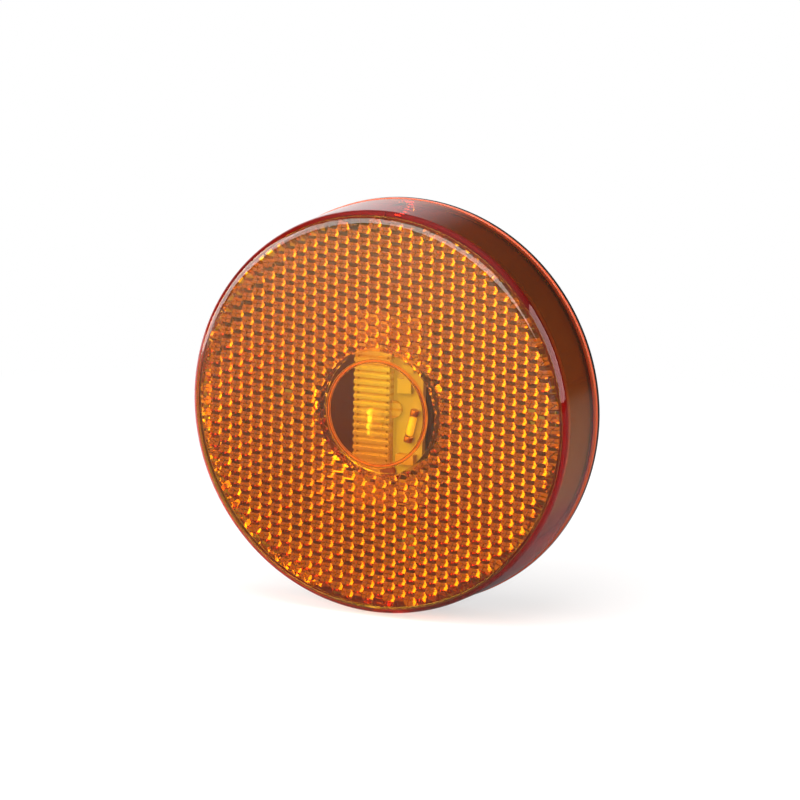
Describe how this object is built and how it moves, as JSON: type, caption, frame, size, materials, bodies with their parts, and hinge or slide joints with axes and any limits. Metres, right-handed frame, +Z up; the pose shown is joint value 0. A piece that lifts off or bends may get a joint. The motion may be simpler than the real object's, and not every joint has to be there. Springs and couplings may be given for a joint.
{
  "type": "round side marker lamp",
  "caption": "Round amber marker lamp with a clip-on cover, a ring of reflex prisms behind its face, and a light unit behind a clear central window, on a black screw-on base.",
  "frame": {"origin": "middle of the flat back that lies on the vehicle, on the lamp's axis", "axes": "+Y along the lamp's axis, out of its back; the face looks towards -Y; +Z up; +X to the right seen from the front"},
  "size_m": [0.0662, 0.014, 0.0662],
  "materials": {
    "black_shell": "moulded black plastic, fine grain",
    "seal_rubber": "soft black rubber",
    "amber_cover": "clear amber moulding, polished",
    "amber_reflector": "clear amber moulding with polished corner prisms",
    "screw_steel": "zinc-plated steel",
    "resin": "cast potting resin",
    "board_white": "white solder mask",
    "clear_bar": "clear moulding with rounded flutes",
    "led_white": "white package",
    "led_gel": "soft clear gel",
    "chip_tan": "moulded package under clear varnish",
    "component_black": "moulded package",
    "capacitor_tan": "fired ceramic",
    "diode_glass": "clear glass",
    "tin": "bright solder"
  },
  "bodies": {
    "lamp": {"base": "black_shell", "lens_seal": "seal_rubber", "cable_grommet": "seal_rubber", "module_tray": "black_shell", "tray_screws": "screw_steel", "potting": "resin", "circuit_board": "board_white", "fluted_bar": "clear_bar", "led_body": "led_white", "led_dome": "led_gel", "driver_chip": "chip_tan", "resistors": "chip_tan", "suppressor": "component_black", "bulk_capacitor": "capacitor_tan", "glass_diode": "diode_glass", "diode_caps": "tin", "solder_joints": "tin"},
    "cover": {"lens_cover": "amber_cover", "reflex_insert": "amber_reflector"}
  },
  "joints": [
    {"name": "cover_pull", "type": "slide", "parent": "lamp", "child": "cover", "axis": [0, -1, 0], "range_m": [0, 0.025]}
  ]
}
